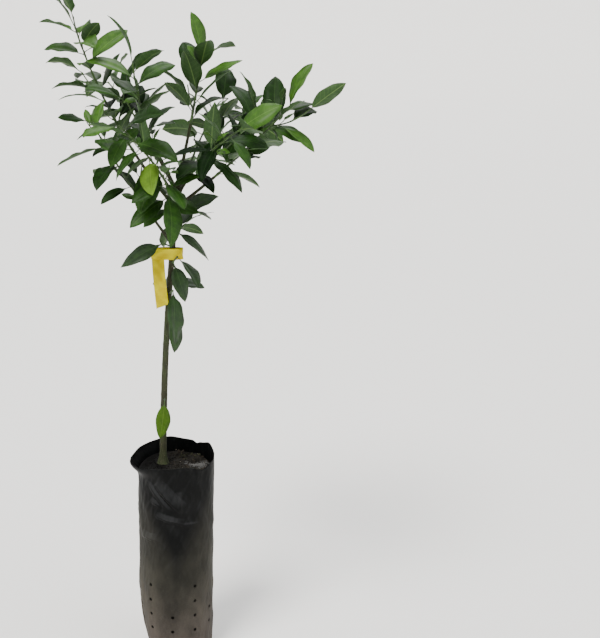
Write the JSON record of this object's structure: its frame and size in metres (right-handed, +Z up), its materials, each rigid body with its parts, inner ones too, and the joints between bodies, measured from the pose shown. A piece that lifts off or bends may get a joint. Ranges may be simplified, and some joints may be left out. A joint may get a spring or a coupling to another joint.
{
  "type": "potted hamlin orange tree",
  "caption": "Young sweet orange tree with a thin trunk, open leafy crown and yellow label tape, rooted in a tall black film nursery bag.",
  "frame": {"origin": "middle of the flat underside of the bag, on the ground", "axes": "+Z up along the plant, +X to the viewer's right and +Y away from the viewer of the picture"},
  "size_m": [0.4049, 0.4554, 0.981],
  "materials": {
    "bag_film": "satin black polythene film",
    "soil": "crumbly dark potting mix",
    "bark": "young green-grey bark",
    "leaf": "glossy dark green leaf",
    "label_tape": "satin yellow plastic tape"
  },
  "bodies": {
    "root": {"bag": "bag_film", "soil": "soil", "trunk": "bark", "bough_left_low": "bark", "bough_left_high": "bark", "bough_left_front": "bark", "bough_left_back": "bark", "bough_centre_left": "bark", "bough_leader": "bark", "bough_right": "bark", "bough_right_front": "bark", "bough_right_back": "bark", "bough_back": "bark", "bough_front": "bark", "foliage_left_low": "leaf", "foliage_left_high": "leaf", "foliage_left_front": "leaf", "foliage_left_back": "leaf", "foliage_centre_left": "leaf", "foliage_leader": "leaf", "foliage_right": "leaf", "foliage_right_front": "leaf", "foliage_right_back": "leaf", "foliage_back": "leaf", "foliage_front": "leaf", "spur_base": "leaf", "spur_low": "leaf", "spur_mid": "leaf", "spur_back_low": "leaf", "spur_front": "leaf", "spur_left": "leaf", "spur_right": "leaf", "spur_back": "leaf", "spur_collar": "leaf", "label_tape": "label_tape"}
  },
  "joints": []
}
